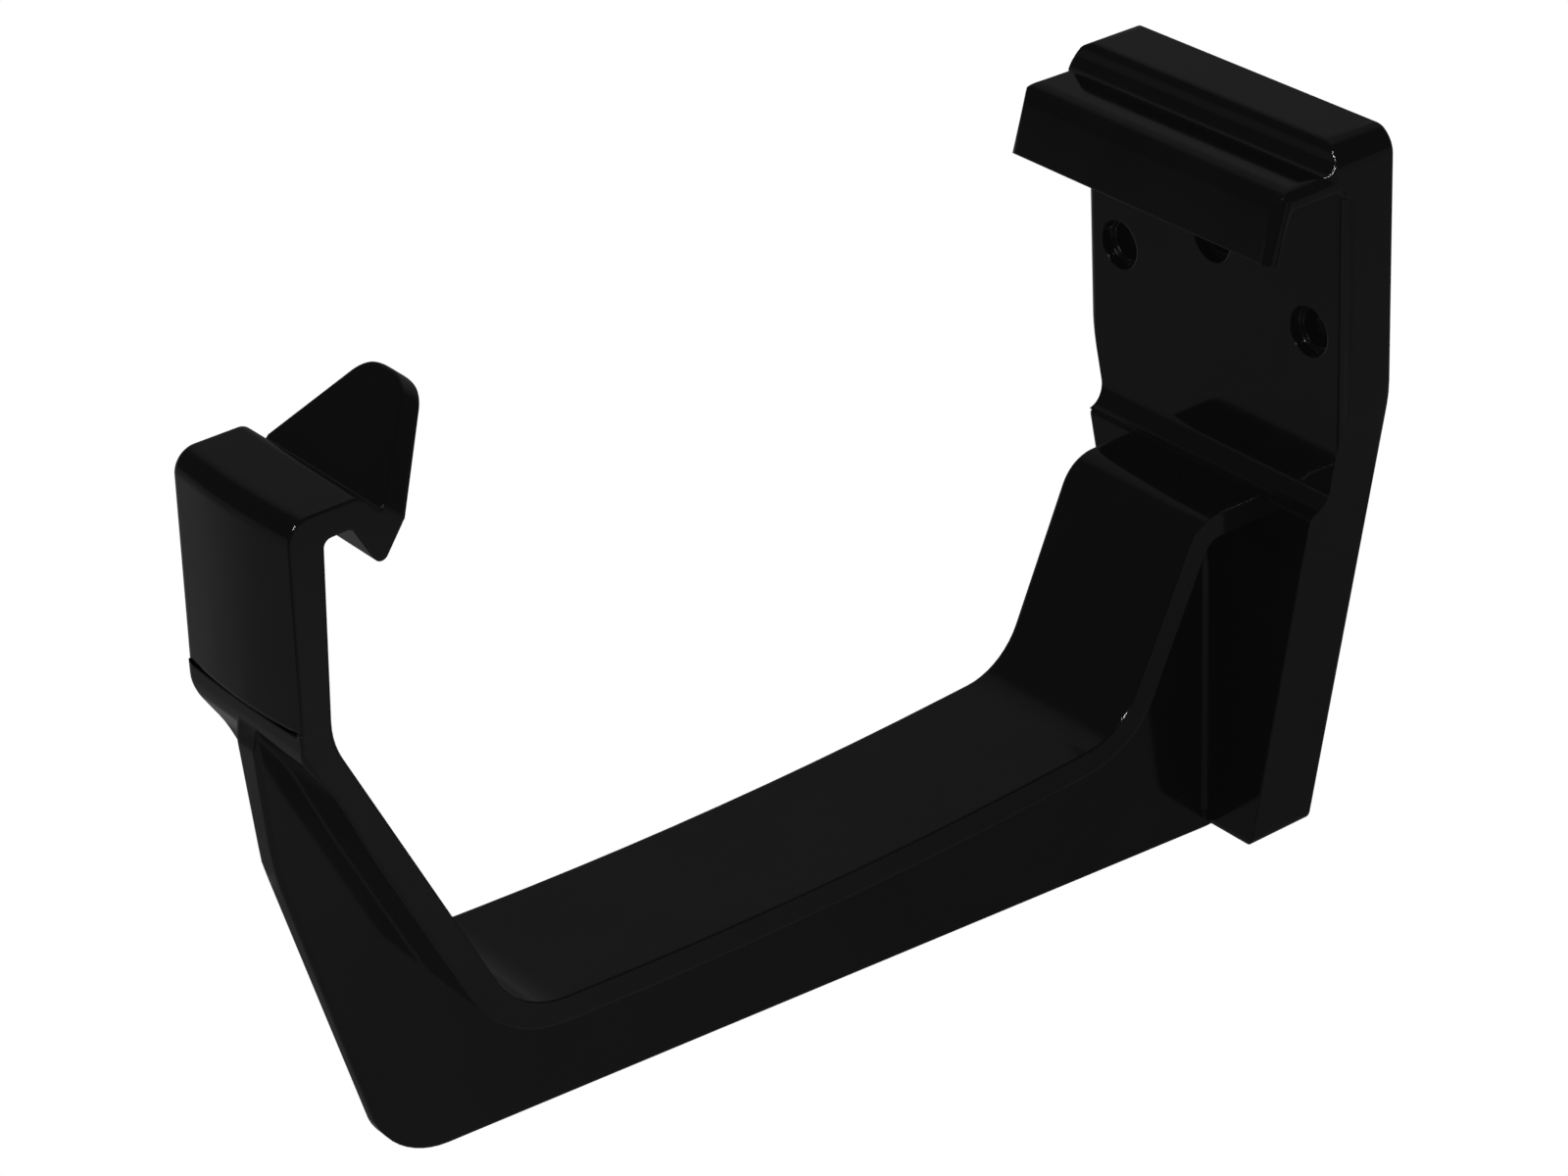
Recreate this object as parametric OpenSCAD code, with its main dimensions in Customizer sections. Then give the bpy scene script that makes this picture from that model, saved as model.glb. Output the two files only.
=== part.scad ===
// Gutter fascia bracket for a square-line gutter, moulded in one piece.
// A vertical back plate screws to the fascia. A flat strap leaves the plate,
// passes under the gutter and rises in front of it to a snap hook with a
// thumb tab. A thin upright web stiffens the strap from below, and a lip at
// the head of the plate holds the rear edge of the gutter down.
// X runs along the gutter, the fascia is the plane Y = 0 with the bracket in
// front of it at negative Y, and Z is up. The origin lies on the fascia
// midway between the two lower screw holes.

/* [Gutter cradle] */
// Clear distance from the face of the plate to the front wall at the hook
cradle_w = 114.1; // [110:0.1:118]
// Depth of the cradle floor below the screw holes, taken at its corners
floor_z = 41.0; // [39:0.05:44]
// How far the middle of the floor would sag if its two halves stayed straight
floor_sag = 2.15; // [0.5:0.05:3.5]
// Lean of the front wall from the vertical, outward towards its foot
wall_lean = 4.0; // [3:0.1:6]
// Lean of the outer face of the front wall
face_lean = 2.4; // [1.5:0.1:4]
// Height of the knee in the front wall below the screw holes
knee_z = 3.55; // [1:0.05:6]
// Slope of the lower front wall from the vertical
front_slope = 24.7; // [22:0.1:27]
// Slope of its outer face, which closes in on the inside towards the floor
front_slope_out = 24.7; // [22:0.1:28]
// Slope of the rear wall from the vertical
rear_slope = 26.6; // [24:0.1:31]
// Level of the rear shelf below the screw holes
shelf_z = 19.65; // [18:0.05:22]
// Distance from the fascia to the upper corner of the rear wall
shelf_corner = 17.4; // [15:0.1:19]

/* [Strap] */
// Width of the strap along the gutter
strap_w = 19.05; // [17:0.05:22]
// Radius of the outer edges of the sloping front wall
outer_r = 0.7; // [0.3:0.1:1.4]
// Width that the strap gains on each side where it joins the plate
strap_flare = 0.4; // [0:0.05:1]
// Thickness of the front wall at the level of the slot
wall_t = 3.6; // [3:0.1:4]
// Thickness of the floor
floor_t = 2.8; // [2.2:0.1:3.2]
// Thickness of the rear wall and shelf
rear_t = 2.7; // [2:0.1:3]
// Inside radius of the front lower corner
front_r = 9; // [7:0.5:10]
// Inside radius of the rear lower corner
rear_r = 8.5; // [7:0.5:10]
// Height that the middle of the front panel stands proud of its sides
panel_crown = 0.4; // [0.2:0.05:0.6]
// Height that the wall just below the panel stands proud of the panel's sides
band_step = 0.2; // [0.1:0.05:0.3]
// Depth of the lowest point of the panel's bowed edge below the screw holes
panel_low = 2.0; // [1.8:0.1:2.6]
// Radius of its bow
panel_r = 129; // [60:1:160]
// Width and depth of the witness groove along it
groove = 0.3; // [0.2:0.05:0.4]

/* [Front hook] */
// Level of the flat top of the hook above the screw holes
hook_z = 19.45; // [18.5:0.05:20.5]
// Thickness of the hook above its slot
hook_t = 2.85; // [2.4:0.05:3.2]
// Radius of the rounding from the front wall to the top of the hook
hook_r = 2.4; // [1.6:0.1:3]
// Distance from the inside of the front wall to the point of the barb
barb_reach = 5.6; // [4.8:0.1:6]
// Level of the point of the barb above the screw holes
barb_z = 12.3; // [11.8:0.1:13]
// Lean of the thumb tab, measured up from the horizontal
tab_angle = 46; // [42:1:52]
// Length of the thumb tab along its face
tab_len = 11.3; // [9:0.1:12]
// Thickness of the thumb tab at its root
tab_t = 2.85; // [2.6:0.05:3.4]
// Thickness of the thumb tab at its end
tab_t_end = 2.4; // [2:0.05:2.9]
// Angle of each side edge of the tab from its centre line
tab_taper = 31.8; // [25:0.5:35]

/* [Web] */
// Thickness of the web at the level of the knee
web_t_top = 3.3; // [2.6:0.1:4]
// Thickness of the web along its lower edge
web_t_low = 1.6; // [1.2:0.1:2.4]
// Radius of the front edges of the web
web_r = 0.6; // [0.3:0.1:0.8]
// Radius of the fillets between the web and the plate
fillet_r = 0.7; // [0.4:0.1:1.2]
// Depth of the web at its front corner, below the screw holes
web_z_front = 58.1; // [56:0.1:61]
// Fall of the lower edge of the web towards the plate
web_fall = 3.5; // [2:0.1:5]

/* [Back plate] */
// Full width of the upper plate
plate_w = 39.4; // [36:0.1:42]
// Level of the top edge above the screw holes
plate_top = 22.3; // [21:0.05:23]
// Level of the corners of the bottom edge below the screw holes
plate_low = 64.0; // [62:0.1:67]
// Drop of the middle of the bottom edge below its corners
plate_sag = 0.6; // [0:0.1:1.5]
// Thickness of the plate above the ledge
plate_t = 6.3; // [5.8:0.1:7]
// Thickness of the plate below the ledge
plate_t_low = 8.5; // [7.8:0.1:9]
// Level below the screw holes at which the sides start to close in
taper_z = 7.2; // [6:0.1:10]
// Half the width of the plate at its bottom edge
foot_w = 8.25; // [7:0.05:9.5]
// Radius of the corners of the bottom edge
foot_r = 1.8; // [1.2:0.1:3]
// Radius of the vertical front edges of the plate
plate_edge_r = 1.3; // [0.8:0.1:1.8]

/* [Rear lip] */
// Distance from the fascia to the front of the head block
head_y = 8.0; // [7.4:0.1:8.8]
// Level of the top of the lip above the screw holes
lip_z = 19.5; // [19:0.05:20]
// Distance from the fascia to the front of the lip at its root
lip_y = 14.9; // [13.8:0.1:15.8]
// Level of the free edge of the lip above the screw holes
lip_low = 12.3; // [12:0.1:14]
// Lean of the lip from the vertical, outward towards its free edge
lip_lean = 16; // [12:1:20]
// Thickness of the lip
lip_t = 1.7; // [1.4:0.1:2]

/* [Screw holes] */
// Distance between the two lower holes
hole_pitch = 28.8; // [26:0.1:30]
// Height of the middle hole above the lower pair
hole_rise = 5.7; // [4.5:0.1:8]
// Diameter of the holes
hole_d = 4.2; // [3.6:0.1:4.6]
// Diameter of the shallow seat for the screw head
seat_d = 5.5; // [5:0.1:6]
// Depth of the seat
seat_depth = 1.3; // [0.8:0.1:2]

/* [Hollow back] */
// Wall left between the hollow back and every outer face
skin = 2.6; // [2.2:0.1:3]
// Thickness of the ribs across the hollow
rib_t = 1.8; // [1.4:0.1:2.4]
// Diameter of the bosses round the screw holes
boss_d = 9.0; // [8:0.2:10]

/* [Hidden] */
$fn = 64;

// Inside of the front wall at the level of the hook slot, and at the knee.
slot_z = hook_z - hook_t;
wall_y = -(plate_t + cradle_w);
knee_y = wall_y - (slot_z + knee_z) * tan(wall_lean);
// Level of the foot of the front panel at its sides.
panel_z = -1.5;
// Outer face of the front wall at the level of the slot, and at its knee.
face_y = wall_y - wall_t;
face_0_y = face_y - slot_z * tan(face_lean);
face_knee_z = knee_z + 1.2;
face_knee_y = face_y - (slot_z + face_knee_z) * tan(face_lean);
// Shallow hollow under the knee, where the outer face turns into the incline.
dip_z = 9.6;
dip_fall = 8.6;
band_slope = 31.5;
dip_y = face_knee_y + (dip_z - face_knee_z) * tan(band_slope);
foot_y = dip_y + dip_fall * tan(22.4);
front_y = knee_y + (floor_z - knee_z) * tan(front_slope);
rear_y = -shelf_corner - (floor_z - shelf_z) * tan(rear_slope);
// The two halves of the floor meet midway between its corners.
mid_y = (front_y + rear_y) / 2;
// Side slope of the plate below the point where it starts to close in.
side_slope = atan((plate_w / 2 - foot_w) / (plate_low - taper_z));
// Foot of the thumb tab's front face, at the bottom of the notch behind the top.
notch = 2.1;
// The tab's two end corners run into one another in a single round end.
tab_end_r = 4.2;
tab_y = wall_y + 6.2;
tab_z = hook_z - notch;

// Each side of the web leans in downward by this angle.
web_draft = atan((web_t_top - web_t_low) / 2 / (plate_low - knee_z));

// Thickness of the web at depth z below the screw holes.
function web_t_at(z) = web_t_top - (web_t_top - web_t_low) * (z - knee_z) / (plate_low - knee_z);

function unit(v) = v / norm(v);

// Points of the arc that rounds corner q, coming from p and going on to s.
function corner(p, q, s) =
    let (r = q[2], b = [q[0], q[1]],
         u = unit([p[0], p[1]] - b), v = unit([s[0], s[1]] - b),
         half = acos(max(-1, min(1, u * v))) / 2)
    r <= 0 || half > 89.9 ? [b] :
    let (c = b + unit(u + v) * r / sin(half),
         a = b + u * r / tan(half) - c, e = b + v * r / tan(half) - c,
         turn = 180 - 2 * half, way = cross(a, e) > 0 ? 1 : -1,
         n = max(2, ceil(turn / (r > 100 ? 0.7 : 7))), a0 = atan2(a[1], a[0]))
    [for (k = [0:n]) c + r * [cos(a0 + way * turn * k / n), sin(a0 + way * turn * k / n)]];

// Outline through corners given as [y, z, radius].
function outline(c) =
    [for (i = [0:len(c) - 1]) each corner(c[(i + len(c) - 1) % len(c)], c[i], c[(i + 1) % len(c)])];

// A [y, z] outline extruded along X by w, centred on X = 0.
module along_x(c, w) {
    rotate([90, 0, 90]) linear_extrude(height = w, center = true) polygon(outline(c));
}

// An [x, z] outline extruded from the fascia forward by d.
module along_y(c, d) {
    translate([0, 1, 0]) rotate([90, 0, 0]) linear_extrude(height = d + 1) polygon(outline(c));
}

// Section of the whole strap: up the inside from the shelf to the hook, over
// the top of the hook, and back down the outside to the plate.
function strap_section() =
    let (drop = floor_z + floor_t - 0.1, under = shelf_z + rear_t,
         out = -shelf_corner + rear_t / cos(rear_slope))
    [[-4, -shelf_z, 0],
     [-shelf_corner, -shelf_z, 4.9],
     [rear_y, -floor_z, rear_r],
     [mid_y, -floor_z - floor_sag, 530],
     [front_y, -floor_z, front_r],
     [knee_y, -knee_z, 8.5],
     [wall_y, slot_z, 0.9],
     [wall_y + 3.0, slot_z + 0.1, 0.9],
     [wall_y + barb_reach, barb_z - 0.6, 0.8],
     [tab_y + tab_t * sin(tab_angle), tab_z - tab_t * cos(tab_angle), 0],
     [tab_y, tab_z, 0.3],
     [tab_y - notch, hook_z, 1.6],
     [face_y - (slot_z - hook_z) * tan(face_lean), hook_z, hook_r],
     [face_0_y, 0, 0],
     [face_0_y - band_step, 0, 0],
     [face_knee_y - band_step / 2, -face_knee_z, 4],
     [dip_y, -dip_z, 14],
     [foot_y, -dip_z - dip_fall, 60],
     [foot_y + (drop - dip_z - dip_fall) * tan(front_slope_out), -drop, front_r + 3],
     [mid_y, -floor_z - floor_sag - floor_t, 530],
     [out - (drop - shelf_z) * tan(rear_slope), -drop, rear_r + rear_t],
     [out - (under - shelf_z) * tan(rear_slope), -under, 2.2],
     [-4, -under, 0]];

// Space behind a sloping front face whose two side edges are rounded by r. The
// face passes through [y, z] and falls back by slope, and its sides close in
// downward by draft.
module behind(y, z, slope, w, r, draft = 0) {
    intersection_for (s = [-1, 1])
        translate([s * w / 2, y, z]) rotate([0, s * draft, 0]) rotate([slope, 0, 0])
            mirror([s > 0 ? 0 : 1, 0, 0]) translate([0, 0, -90]) linear_extrude(height = 150)
                polygon(outline([[-60, 150, 0], [0, 150, 0], [0, 0, r], [-60, 0, 0]]));
}

// The strap keeps one width and flares a little where it nears the plate. The
// outer edges of the sloping front wall are rounded, and the rounding runs out
// upward at the foot of the front panel.
module strap() {
    color([0.045, 0.045, 0.05]) difference() {
        intersection() {
            along_x(strap_section(), strap_w + 2 * strap_flare + 2);
            translate([0, 0, -60]) linear_extrude(height = 100)
                polygon([[-strap_w / 2, -140], [strap_w / 2, -140],
                         [strap_w / 2, rear_y - 4], [strap_w / 2 + strap_flare, -shelf_corner],
                         [strap_w / 2 + strap_flare, 0], [-strap_w / 2 - strap_flare, 0],
                         [-strap_w / 2 - strap_flare, -shelf_corner], [-strap_w / 2, rear_y - 4]]);
            union() {
                translate([-50, -140, panel_z - 0.2]) cube([100, 150, 40]);
                translate([-50, front_y, -60]) cube([100, 120, 100]);
                intersection() {
                    translate([-50, -140, -60]) cube([100, 150, 60 + panel_z]);
                    behind(face_knee_y, -face_knee_z, front_slope_out, strap_w, outer_r);
                }
            }
        }
        in_panel(0, 0);
    }
}

// Disc whose lower rim is the bowed lower edge of the front panel.
module panel_disc(r) {
    translate([0, -100, panel_r - panel_low]) rotate([90, 0, 0]) cylinder(r = r, h = 60, $fn = 256);
}

// Front panel of the wall. It is turned about an upright axis far behind it, so
// that its middle stands proud of its sides, and it ends in a bowed lower edge.
module front_panel() {
    axis_r = (strap_w * strap_w / 4 + panel_crown * panel_crown) / (2 * panel_crown);
    foot = -4;
    color([0.045, 0.045, 0.05]) intersection() {
        translate([0, face_y - panel_crown + axis_r, 0]) rotate_extrude($fn = 256)
            polygon(outline([[axis_r - 2, foot, 0],
                             [axis_r + (slot_z - foot) * tan(face_lean), foot, 0],
                             [axis_r - (hook_z - slot_z) * tan(face_lean), hook_z, hook_r],
                             [axis_r - 4, hook_z, 0]]));
        translate([-strap_w / 2, face_y - 3, foot]) cube([strap_w, 5.5, hook_z - foot]);
        panel_disc(panel_r);
    }
}

// Space in front of the outer face just above the panel's foot, taken deeper
// into the wall and wider round the panel's edge by these amounts.
module in_panel(deeper, wider) {
    foot = -3.5;
    intersection() {
        along_x([[-140, 0.1, 0], [face_0_y + deeper, 0.1, 0],
                 [face_0_y + deeper + foot * tan(face_lean), foot, 0], [-140, foot, 0]],
                strap_w + (deeper > 0 ? -1.2 : 2));
        panel_disc(panel_r + wider);
    }
}

// Witness groove under the edge of the front panel. It stops short of the
// sides of the strap.
module panel_groove() {
    difference() {
        in_panel(groove, groove);
        panel_disc(panel_r);
    }
}

// Thumb tab, leaning back from the notch behind the top of the hook. Its sides
// close in towards a rounded end, and it is thicker at the root.
module tab() {
    start = 0.4;
    end_w = strap_w / 2 - (tab_len - start) * tan(tab_taper);
    color([0.045, 0.045, 0.05]) translate([0, tab_y, tab_z]) rotate([tab_angle, 0, 0]) intersection() {
        translate([0, 0, -4]) linear_extrude(height = 5)
            polygon(outline([[-strap_w / 2, -0.3, 0], [strap_w / 2, -0.3, 0], [strap_w / 2, start, 0],
                             [end_w, tab_len, tab_end_r], [-end_w, tab_len, tab_end_r],
                             [-strap_w / 2, start, 0]]));
        along_x([[-0.3, -tab_t + 0.02, 0], [-0.3, 0, 0],
                 [tab_len, 0, 0.5], [tab_len, -tab_t_end, 0.5]], strap_w);
    }
}

// Upright web under the strap, thinner towards its lower edge. Its front edge
// grows out of the face below the panel, falls back in two slopes and is
// rounded on both sides.
module web() {
    nose_y = face_knee_y + 9.5;
    front_fall = 13.7;
    bend_z = 20.1;
    heel_z = web_z_front + (-nose_y - plate_t_low) * tan(web_fall);
    bend_y = nose_y - (web_z_front - bend_z) * tan(front_fall);
    color([0.045, 0.045, 0.05]) intersection() {
        along_x([[face_knee_y + 2, -face_knee_z + 3, 0], [front_y - 1, -floor_z - 1.2, 6],
                 [mid_y, -floor_z - floor_sag - 1.2, 200], [rear_y + 1, -floor_z - 1.2, 6],
                 [-shelf_corner + 1.2, -shelf_z - 1.2, 0], [-3, -shelf_z - 1.2, 0],
                 [-3, -heel_z, 0], [-plate_t_low, -heel_z, 0],
                 [nose_y, -web_z_front, 9],
                 [bend_y, -bend_z, 34],
                 [face_knee_y - 0.5, -face_knee_z - 1.9, 3],
                 [face_knee_y + 0.2, -face_knee_z + 1.4, 0]], 8);
        behind(bend_y, -bend_z, front_fall, web_t_at(bend_z), web_r, web_draft);
        behind(bend_y, -bend_z, 3.6, web_t_at(bend_z), web_r, web_draft);
    }
}

// Fillets in the two corners between the web and the lower plate.
module web_fillets() {
    r = fillet_r;
    for (s = [-1, 1])
        translate([s * web_t_at(shelf_z) / 2, -plate_t_low, -shelf_z]) rotate([0, s * web_draft, 0])
            mirror([s > 0 ? 0 : 1, 0, 0]) translate([0, 0, shelf_z - plate_low + 1.8])
                linear_extrude(height = plate_low - shelf_z - 3)
                    polygon([[-0.4, 0.4], [r, 0.4],
                             each [for (a = [90:-7.5:0]) [r - r * cos(a), r * sin(a) - r]], [-0.4, -r]]);
}

// Front face of the plate in the [x, z] plane.
function plate_face(inset) =
    let (k = inset * tan(side_slope / 2))
    [[-plate_w / 2 + inset, -taper_z - k, 15],
     [-foot_w + inset, -plate_low + inset, max(foot_r - inset, 0.8)],
     [0, -plate_low - plate_sag + inset, 40],
     [foot_w - inset, -plate_low + inset, max(foot_r - inset, 0.8)],
     [plate_w / 2 - inset, -taper_z - k, 15],
     [plate_w / 2 - inset, plate_top - inset, max(2.9 - inset, 0.8)],
     [-plate_w / 2 + inset, plate_top - inset, max(2.9 - inset, 0.8)]];

// Upright column with rounded front edges, on which each stage of the plate is cut.
module rounded_column(w, front, r, low, high) {
    translate([0, 0, low]) linear_extrude(height = high - low)
        polygon(outline([[-w / 2, 1, 0], [w / 2, 1, 0], [w / 2, -front, r], [-w / 2, -front, r]]));
}

module plate() {
    color([0.045, 0.045, 0.05]) {
        // Upper stage, up to the head, with the fillet down to the ledge.
        intersection() {
            along_x([[0, -24, 0], [0, plate_top, 0.4], [-plate_t, plate_top, 0], [-plate_t, -shelf_z, 2.6],
                     [-plate_t_low - 6, -shelf_z, 0], [-plate_t_low - 6, -24, 0]], plate_w);
            along_y(plate_face(0), 30);
            rounded_column(plate_w, plate_t, plate_edge_r, -shelf_z - 4, plate_top + 1);
        }
        // Lower stage, thicker, closed at the top by the ledge.
        intersection() {
            along_x([[0, -plate_low - plate_sag, 0.4], [0, -shelf_z + 6, 0],
                     [-plate_t + 0.6, -shelf_z + 6, 0],
                     [-plate_t, -shelf_z + 2.8, 0], [-plate_t, -shelf_z, 2.6],
                     [-plate_t_low, -shelf_z, 0.7], [-plate_t_low, -plate_low - plate_sag, 1.6]], plate_w);
            along_y(plate_face(0), 30);
            intersection_for (s = [-1, 1])
                translate([s * plate_w / 2, 0, -taper_z]) rotate([0, s * -side_slope, 0])
                    mirror([s > 0 ? 0 : 1, 0, 0]) translate([0, 0, -75]) linear_extrude(height = 110)
                        polygon(outline([[-60, 1, 0], [0, 1, 0], [0, -plate_t_low, plate_edge_r],
                                         [-60, -plate_t_low, 0]]));
        }
    }
}

// Section of the head: the block over the plate, a hollow curve down to a
// shelf, and the lip that hangs from its front.
function head_section() =
    let (root = lip_z - lip_t - 0.25, drop = lip_z - lip_low,
         tip = -lip_y - drop * tan(lip_lean))
    [[0, root - 1.2, 0], [0, plate_top, 0.4], [-head_y + 0.9, plate_top, 1.2], [-head_y, lip_z, 1.6],
     [-lip_y, lip_z, 1.3], [tip, lip_low, 0.25], [tip + lip_t - 0.4, lip_low, 0.3],
     [-lip_y + lip_t - (lip_z - root) * tan(lip_lean), root, 0.8],
     [-plate_t, root, 1.0], [-plate_t, root - 1.2, 0]];

module head() {
    color([0.045, 0.045, 0.05]) {
        // Block, as wide as the plate, with rounded upright edges.
        intersection() {
            along_x(head_section(), plate_w);
            along_y(plate_face(0), 30);
            rounded_column(plate_w, head_y + 1.6, 2.2, 8, plate_top + 1);
        }
        // Shelf and lip, with rounded ends.
        intersection() {
            along_x(head_section(), plate_w);
            along_y([[-plate_w / 2, lip_low - 2, 0], [plate_w / 2, lip_low - 2, 0],
                     [plate_w / 2, lip_z, 1.2], [-plate_w / 2, lip_z, 1.2]], 30);
            translate([0, -lip_y, lip_z]) rotate([-lip_lean, 0, 0]) translate([0, 0, -12])
                linear_extrude(height = 20)
                    polygon(outline([[-plate_w / 2, 18, 0], [plate_w / 2, 18, 0],
                                     [plate_w / 2, 0, 1.3], [-plate_w / 2, 0, 1.3]]));
        }
    }
}

// Hollow back: a rim round the edge, ribs across it and a boss at each hole.
module hollow() {
    difference() {
        intersection() {
            along_y(plate_face(skin), 30);
            along_x([[1, -plate_low + skin, 0], [1, 17.2, 0], [-plate_t + skin, 17.2, 0.6],
                     [-plate_t + skin, -shelf_z - 1.2, 0.6], [-plate_t_low + skin, -shelf_z - 3.0, 0.6],
                     [-plate_t_low + skin, -plate_low + skin, 0.6]], plate_w);
        }
        translate([-rib_t / 2, -20, -plate_low - 1]) cube([rib_t, 22, plate_low + plate_top + 2]);
        for (z = [-shelf_z - 1, -shelf_z - 22])
            translate([-plate_w / 2, -20, z - rib_t / 2]) cube([plate_w, 22, rib_t]);
        for (p = [[-hole_pitch / 2, 0], [hole_pitch / 2, 0], [0, hole_rise]])
            translate([p[0], 2, p[1]]) rotate([90, 0, 0]) cylinder(d = boss_d, h = 22);
    }
}

// Screw holes with a shallow seat for the head.
module screw_holes() {
    for (p = [[-hole_pitch / 2, 0], [hole_pitch / 2, 0], [0, hole_rise]]) translate([p[0], 0, p[1]]) {
        translate([0, 2, 0]) rotate([90, 0, 0]) cylinder(d = hole_d, h = plate_t + 4);
        translate([0, -plate_t + seat_depth, 0]) rotate([90, 0, 0])
            cylinder(d = seat_d, h = seat_depth + 1.2);
    }
}

module bracket() {
    color([0.045, 0.045, 0.05]) difference() {
        union() {
            strap();
            front_panel();
            tab();
            web();
            web_fillets();
            plate();
            head();
        }
        hollow();
        screw_holes();
        panel_groove();
    }
}

bracket();
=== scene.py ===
import math
from collections import namedtuple

import bmesh
import bpy
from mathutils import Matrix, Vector


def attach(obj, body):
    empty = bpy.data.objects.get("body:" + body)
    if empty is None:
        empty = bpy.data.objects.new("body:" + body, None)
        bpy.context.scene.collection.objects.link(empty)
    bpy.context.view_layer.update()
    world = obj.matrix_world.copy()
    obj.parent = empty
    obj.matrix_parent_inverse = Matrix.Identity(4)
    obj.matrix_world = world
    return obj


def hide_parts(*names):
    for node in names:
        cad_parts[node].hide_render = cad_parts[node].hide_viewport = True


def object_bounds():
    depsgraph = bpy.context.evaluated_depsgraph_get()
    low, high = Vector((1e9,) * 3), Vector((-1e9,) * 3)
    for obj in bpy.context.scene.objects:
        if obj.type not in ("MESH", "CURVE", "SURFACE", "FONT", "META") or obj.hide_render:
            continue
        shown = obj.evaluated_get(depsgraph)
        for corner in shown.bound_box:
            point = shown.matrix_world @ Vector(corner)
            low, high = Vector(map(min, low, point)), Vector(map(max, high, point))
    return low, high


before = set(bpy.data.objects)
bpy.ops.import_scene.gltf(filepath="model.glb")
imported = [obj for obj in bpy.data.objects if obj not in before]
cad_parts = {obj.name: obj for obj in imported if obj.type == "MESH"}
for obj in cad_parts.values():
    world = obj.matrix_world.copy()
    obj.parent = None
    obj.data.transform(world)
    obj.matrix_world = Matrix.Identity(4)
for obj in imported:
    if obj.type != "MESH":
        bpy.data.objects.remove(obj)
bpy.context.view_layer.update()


# The view. A long lens looks down on the near side of the bracket from its
# front right, so that the hook is close on the left and the plate is behind.
camera_data = bpy.data.cameras.new("camera")
camera_data.sensor_width = 36
camera_data.lens = 107.2
camera = bpy.data.objects.new("camera", camera_data)
camera.location = (0.32366, -0.30261, 0.21050)
camera.rotation_euler = [math.radians(a) for a in (60.824, 2.790, 51.988)]
bpy.context.scene.collection.objects.link(camera)
bpy.context.scene.camera = camera
bpy.context.scene.view_settings.view_transform = "Standard"


# The bracket. One moulding in black rigid PVC, shot in a polished steel tool,
# so every face has a mirror gloss and every edge a small even radius, where
# the tool's corners were eased.
class Socket:
    """A node socket that does maths with numbers and with other sockets."""

    def __init__(self, tree, out):
        self.tree = tree
        self.out = out

    def node(self, kind, settings=None, output=0, **inputs):
        """A new node. Its inputs go by name, or by number as i0, i1 and so on."""
        made = self.tree.nodes.new(kind)
        for name, value in (settings or {}).items():
            setattr(made, name, value)
        for name, value in inputs.items():
            key = int(name[1:]) if name[0] == "i" and name[1:].isdigit() else name.replace("_", " ")
            if isinstance(value, Socket):
                self.tree.links.new(value.out, made.inputs[key])
            else:
                made.inputs[key].default_value = value
        return Socket(self.tree, made.outputs[output] if made.outputs else None)

    def maths(self, operation, *values):
        return self.node("ShaderNodeMath", {"operation": operation},
                         **{f"i{k}": v for k, v in enumerate(values)})

    def __add__(self, other):
        return self.maths("ADD", self, other)

    def __radd__(self, other):
        return self.maths("ADD", other, self)

    def __sub__(self, other):
        return self.maths("SUBTRACT", self, other)

    def __rsub__(self, other):
        return self.maths("SUBTRACT", other, self)

    def __mul__(self, other):
        return self.maths("MULTIPLY", self, other)

    def __rmul__(self, other):
        return self.maths("MULTIPLY", other, self)

    def axes(self):
        """The X, Y and Z of a vector."""
        split = self.tree.nodes.new("ShaderNodeSeparateXYZ")
        self.tree.links.new(self.out, split.inputs[0])
        return [Socket(self.tree, out) for out in split.outputs]

    def ramp(self, low, high):
        """0 below low, 1 above high, and smooth between them."""
        return self.node("ShaderNodeMapRange", {"interpolation_type": "SMOOTHSTEP"},
                         Value=self, From_Min=low, From_Max=high)

    def above(self, low, fade):
        """0 below low, rising to 1 over the fade."""
        return (self - low).ramp(0, fade)

    def below(self, high, fade):
        """0 above high, rising to 1 over the fade under it."""
        return (high - self).ramp(0, fade)


def new_material(name):
    material = bpy.data.materials.new(name)
    material.use_nodes = True
    material.node_tree.nodes.clear()
    return material, Socket(material.node_tree, None)


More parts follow.
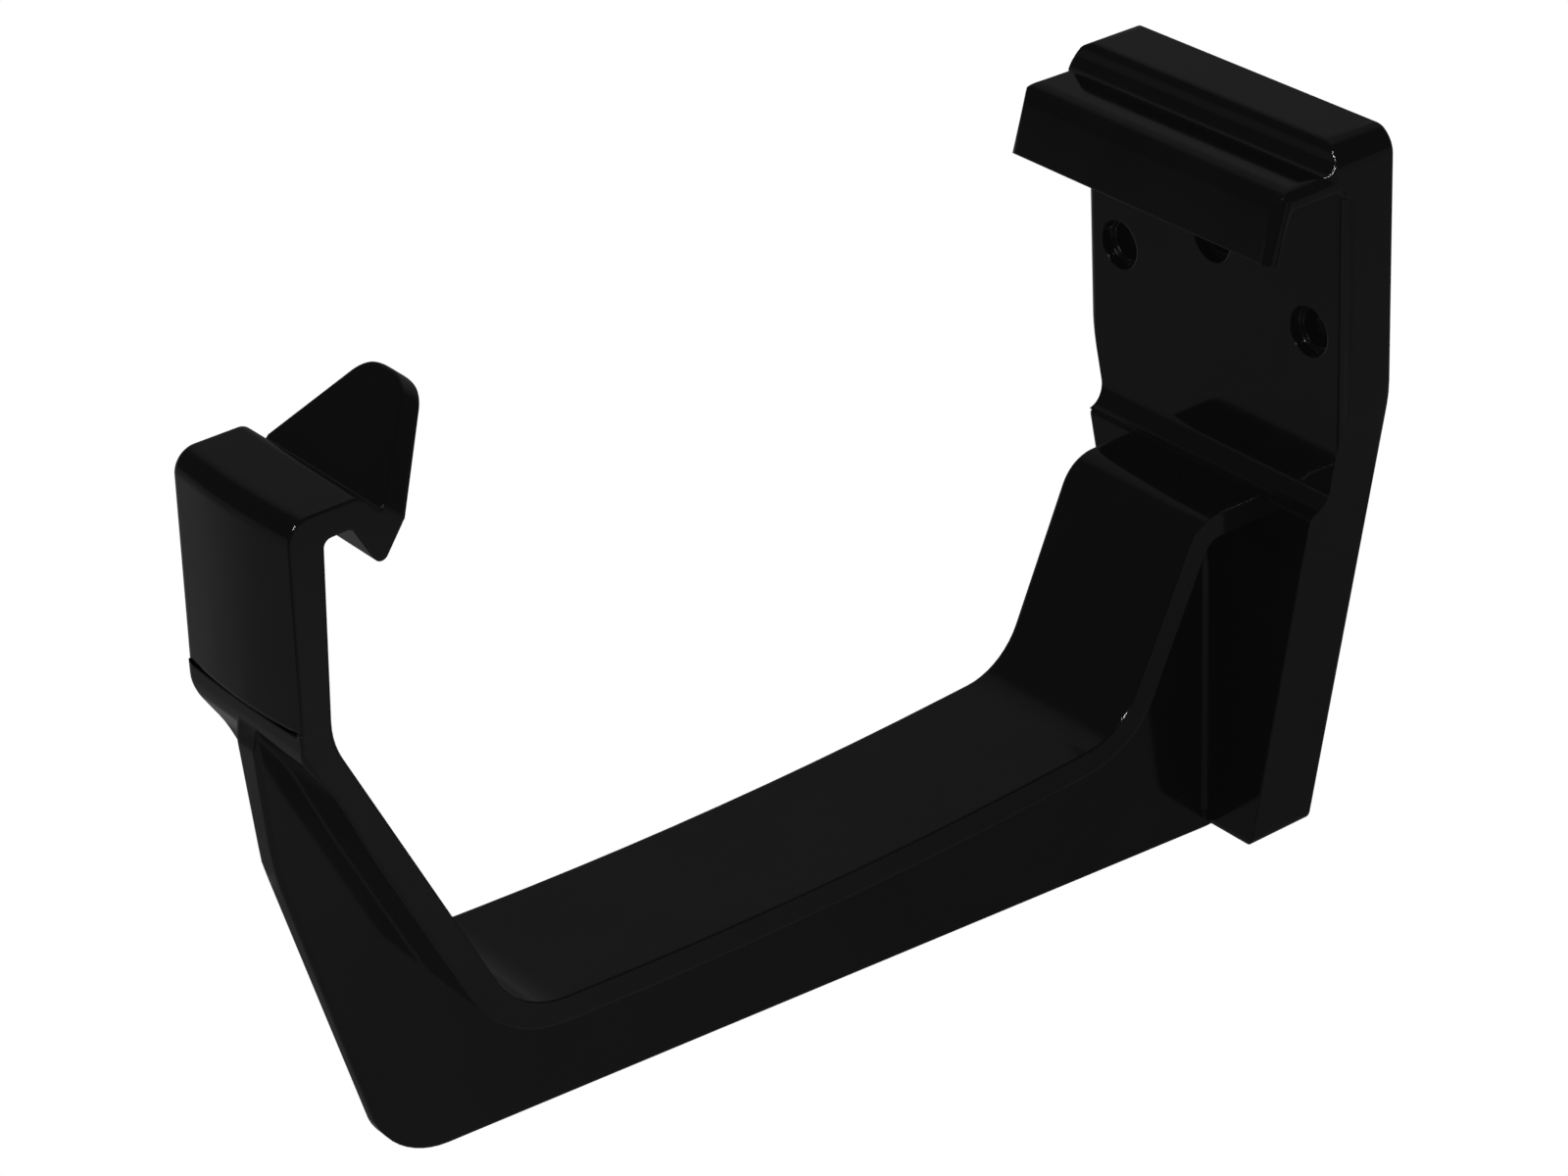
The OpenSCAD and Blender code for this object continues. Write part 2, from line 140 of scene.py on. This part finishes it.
def gloss_black():
    material, make = new_material("gloss black PVC")
    place = make.node("ShaderNodeTexCoord", output=3)
    x, y, z = place.axes()

    # Cloudy change in colour and gloss where the melt cooled against the steel, and a faint painted glow,
    # an emission that lifts the black evenly and stands in for light.
    cloud = make.node("ShaderNodeTexNoise", Vector=place, Scale=70.0, Detail=3.0, Roughness=0.55)
    grain = make.node("ShaderNodeTexNoise", Vector=place, Scale=2600.0, Detail=2.0)
    wave = make.node("ShaderNodeTexNoise", Vector=place, Scale=95.0, Detail=1.0)
    dark = (0.0100, 0.0098, 0.0100, 1)
    light = (0.0135, 0.0130, 0.0130, 1)
    # Painted light: a faint glow over the whole moulding that lifts its black evenly.
    painted_glow = (0.0015, 0.0014, 0.00145, 1)
    colour = make.node("ShaderNodeMix", {"data_type": "RGBA"}, 2,
                       i0=cloud.ramp(0.35, 0.65), i6=dark, i7=light)
    rough = 0.075 + 0.03 * cloud + 0.02 * grain

    # The edges are eased by half a millimetre. They are sharper at the foot
    # of the lip, on the face of the plate and along the foot of the strap.
    round_r = 0.0005
    lip_cut = 0.0004
    face_cut = 0.0003
    strap_cut = 0.0004
    by_lip = (y.above(-0.022, 0.001) * y.below(-0.0135, 0.001)
              * z.above(0.010, 0.001) * z.below(0.0160, 0.002))
    by_face = y.below(-0.0059, 0.0002) * y.above(-0.0090, 0.001) * z.below(0.0130, 0.002)
    by_strap = (y.above(-0.024, 0.004) * z.below(-0.0160, 0.002)
                * z.above(-0.0255, 0.002) * x.above(0.006, 0.002))
    radius = round_r - lip_cut * by_lip - face_cut * by_face - strap_cut * by_strap
    eased = make.node("ShaderNodeBevel", {"samples": 8}, Radius=radius)
    bump = make.node("ShaderNodeBump", Strength=0.35, Distance=0.00003, Height=wave, Normal=eased)
    fine = make.node("ShaderNodeBump", Strength=0.5, Distance=0.0000015, Height=grain, Normal=bump)
    # The gloss carries the painted glow as its emission.
    gloss = make.node("ShaderNodeBsdfPrincipled", Base_Color=colour, Roughness=rough, IOR=1.53,
                      Normal=fine, Emission_Color=painted_glow, Emission_Strength=1.0)

    # The witness groove under the front panel is darkened with painted shade: a matte near-black is mixed
    # in over the gloss along its line. It
    # follows the panel's bowed edge, an arc about a centre high above it.
    bow_z = 0.127
    bow_r = 0.129
    rise = z - bow_z
    past_edge = make.maths("SQRT", x * x + rise * rise) - bow_r
    groove_shade = (past_edge * -1).ramp(-0.00036, -0.00028) * past_edge.ramp(-0.00006, 0.00001)
    groove_shade = groove_shade * (y * -1).ramp(0.1215, 0.1220) * x.below(0.0089, 0.0016)
    # The painted shade: a matte near-black that takes the place of the gloss in the groove.
    painted_shade = make.node("ShaderNodeBsdfDiffuse", Color=(0.002, 0.002, 0.002, 1))
    both = make.node("ShaderNodeMixShader", i0=groove_shade, i1=gloss, i2=painted_shade)
    make.node("ShaderNodeOutputMaterial", Surface=both)
    return material


def part(value, span):
    """How far a number is from 0 to the span, kept from 0 to 1."""
    return min(max(value / span, 0), 1)


def ease_head(body):
    """Bring the head of the bracket to its moulded shape: a fuller round on the
    lip, a tight foot under the block, and a shelf that falls a little to it."""
    # A round in the head's section: 1 if it bulges and -1 if it is hollow, its
    # centre (Y, Z) and radius in the solid, and the same as moulded. It turns
    # through some degrees from the vertical, and a share of them is kept.
    Round = namedtuple("Round", "side centre radius new_centre new_radius degrees share keeps_corners")
    lip = Round(1, (-0.01392, 0.0182), 0.0013, (-0.01302, 0.0170), 0.0025, 74, 1.0, False)
    foot = Round(-1, (-0.009167, 0.0211), 0.0016, (-0.008788, 0.0198), 0.0003, 72.2, 0.89, True)
    brow = Round(1, (-0.006225, 0.0211), 0.0012, (-0.006496, 0.0211), 0.0012, 72.2, 0.89, True)
    head_low = 0.0170
    head_back = -0.0061
    outside, inside = 0.0001, 0.0009
    corner_x, corner_w = 0.0174, 0.0020
    shelf_front, shelf_run, shelf_slope = 0.0130, 0.0041, 0.035
    shelf_low, shelf_fade = 0.0183, 0.0010
    block_top, block_h = 0.0223, 0.0028
    for corner in body.verts:
        x, y, z = corner.co
        if z < head_low or y > head_back:
            continue
        for bend in (lip, foot, brow):
            side = bend.side
            forward, up = side * (bend.centre[0] - y), side * (z - bend.centre[1])
            angle = math.degrees(math.atan2(forward, up))
            depth = side * (bend.radius - math.hypot(forward, up))
            if -1 < angle < bend.degrees + 1 and -outside < depth < inside:
                turned = math.radians(angle * bend.share)
                reach = side * (bend.new_radius - side * depth)
                moved = Vector((bend.new_centre[0] - reach * math.sin(turned),
                                bend.new_centre[1] + reach * math.cos(turned)))
                # The upright corners of the block keep their own round.
                kept = part(abs(x) - corner_x, corner_w) if bend.keeps_corners else 0
                y, z = moved.lerp(Vector((y, z)), kept)
                break
        fall = shelf_slope * min(max(y + shelf_front, 0), shelf_run)
        z -= fall * part(block_top - z, block_h) * part(z - shelf_low, shelf_fade)
        corner.co = (x, y, z)


def merged_copy(node_name):
    """A copy of the CAD node with its loose triangles joined, smooth but for its real edges."""
    same_place = 1e-6
    same_plane = math.radians(0.25)
    real_edge = math.radians(28)
    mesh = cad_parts[node_name].data.copy()
    body = bmesh.new()
    body.from_mesh(mesh)
    bmesh.ops.remove_doubles(body, verts=body.verts, dist=same_place)
    bmesh.ops.dissolve_limit(body, angle_limit=same_plane, verts=body.verts, edges=body.edges)
    ease_head(body)
    for face in body.faces:
        face.smooth = True
    for edge in body.edges:
        edge.smooth = edge.calc_face_angle(0) < real_edge
    body.to_mesh(mesh)
    body.free()
    mesh.materials.clear()
    piece = bpy.data.objects.new("bracket_moulding", mesh)
    bpy.context.scene.collection.objects.link(piece)
    even = piece.modifiers.new("even shading", "WEIGHTED_NORMAL")
    even.mode = "FACE_AREA"
    even.weight = 80
    even.keep_sharp = True
    return piece


bracket = merged_copy("bracket")
bracket.data.materials.append(gloss_black())
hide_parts("bracket")
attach(bracket, "root")


# The studio floor. A white sheet whose edges are out of sight. In the gloss of the moulding it is a grey
# card that glows with painted light, paler at two places on the near side, darker far in front, and cut
# away on the left, where the room shows past it.
def glow(x, y, at_x, at_y, spread):
    """A soft round patch, 1 in the middle."""
    square = (x - at_x) * (x - at_x) + (y - at_y) * (y - at_y)
    return x.maths("EXPONENT", square * (-0.5 / spread ** 2))


def pale_floor():
    material, make = new_material("pale floor")
    camera_ray = make.node("ShaderNodeLightPath")
    x, y, _ = make.node("ShaderNodeTexCoord", output=3).axes()
    out = make.maths("SQRT", x * x + y * y)
    sheet = 0.053 + 0.032 * out.ramp(0.03, 0.12)
    # Painted light: the floor glows instead of being lit, with two pale patches on the near side and a
    # darker band far in front.
    near_side = glow(x, y, at_x=0.110, at_y=-0.075, spread=0.050)
    near_front = glow(x, y, at_x=0.05, at_y=-0.19, spread=0.035)
    far_front = (0 - y).ramp(0.235, 0.290)
    floor_glow = (sheet + 0.07 * near_side + 0.05 * near_front) * (1 - 0.8 * far_front)
    grey = make.node("ShaderNodeEmission", Color=(1, 1, 1, 1), Strength=floor_glow)
    open_left = make.node("ShaderNodeBsdfTransparent")
    mirrored = make.node("ShaderNodeMixShader", i0=x.ramp(-0.06, -0.03), i1=open_left, i2=grey)
    white = make.node("ShaderNodeEmission", Color=(1, 1, 1, 1), Strength=1.0)
    both = make.node("ShaderNodeMixShader", i0=camera_ray, i1=mirrored, i2=white)
    make.node("ShaderNodeOutputMaterial", Surface=both)
    return material


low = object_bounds()[0]
reach = 3.0
gap = 0.004
level = low.z - gap
corners = [(-reach, -reach, level), (reach, -reach, level), (reach, reach, level), (-reach, reach, level)]
floor_mesh = bpy.data.meshes.new("floor")
floor_mesh.from_pydata(corners, [], [(0, 1, 2, 3)])
floor_mesh.materials.append(pale_floor())
floor = bpy.data.objects.new("floor", floor_mesh)
bpy.context.scene.collection.objects.link(floor)


# The room. Plain white walls to the eye. In the gloss of the moulding they are
# dim, with a paler wall behind on the left and a bright patch low on the left.
world = bpy.data.worlds.new("room")
world.use_nodes = True
world.node_tree.nodes.clear()
room = Socket(world.node_tree, None)
x, y, z = room.node("ShaderNodeTexCoord").axes()
level_out = room.maths("SQRT", x * x + y * y)
behind_left = room.maths("DIVIDE", 0.707 * y - 0.707 * x, level_out)
left = room.maths("DIVIDE", 0 - x, level_out)
above = 0.029 + 0.056 * behind_left.ramp(0.62, 0.88)
below = 0.074 + 0.115 * left.ramp(0.80, 0.98) * z.ramp(-0.70, -0.45)
wall = below + (above - below) * z.ramp(-0.10, 0.02)
dim = room.node("ShaderNodeBackground", Color=(1, 1, 1, 1), Strength=wall)
soft = room.node("ShaderNodeBackground", Color=(1, 1, 1, 1), Strength=0.15)
bright = room.node("ShaderNodeBackground", Color=(1, 1, 1, 1), Strength=1.0)
camera_ray = room.node("ShaderNodeLightPath")
diffuse_ray = room.node("ShaderNodeLightPath", output=2)
lit = room.node("ShaderNodeMixShader", i0=diffuse_ray, i1=dim, i2=soft)
sky = room.node("ShaderNodeMixShader", i0=camera_ray, i1=lit, i2=bright)
room.node("ShaderNodeOutputWorld", Surface=sky)
bpy.context.scene.world = world


# The lamps. Three small round ones above the front right, which give the points
# of light along the edges. They don't light the black of the moulding itself.
def lamp(name, place, size, power):
    data = bpy.data.lights.new(name, "AREA")
    data.shape = "DISK"
    data.size = size
    data.energy = power
    made = bpy.data.objects.new(name, data)
    made.location = place
    middle = Vector((0, -0.06, -0.01))
    made.rotation_euler = (middle - Vector(place)).to_track_quat("-Z", "Y").to_euler()
    made.visible_diffuse = False
    bpy.context.scene.collection.objects.link(made)


lamp("front lamp", (0.75, -0.95, 0.95), size=0.10, power=7)
lamp("second lamp", (0.55, -1.05, 1.05), size=0.10, power=7)
lamp("high lamp", (0.25, -1.00, 1.30), size=0.08, power=5)
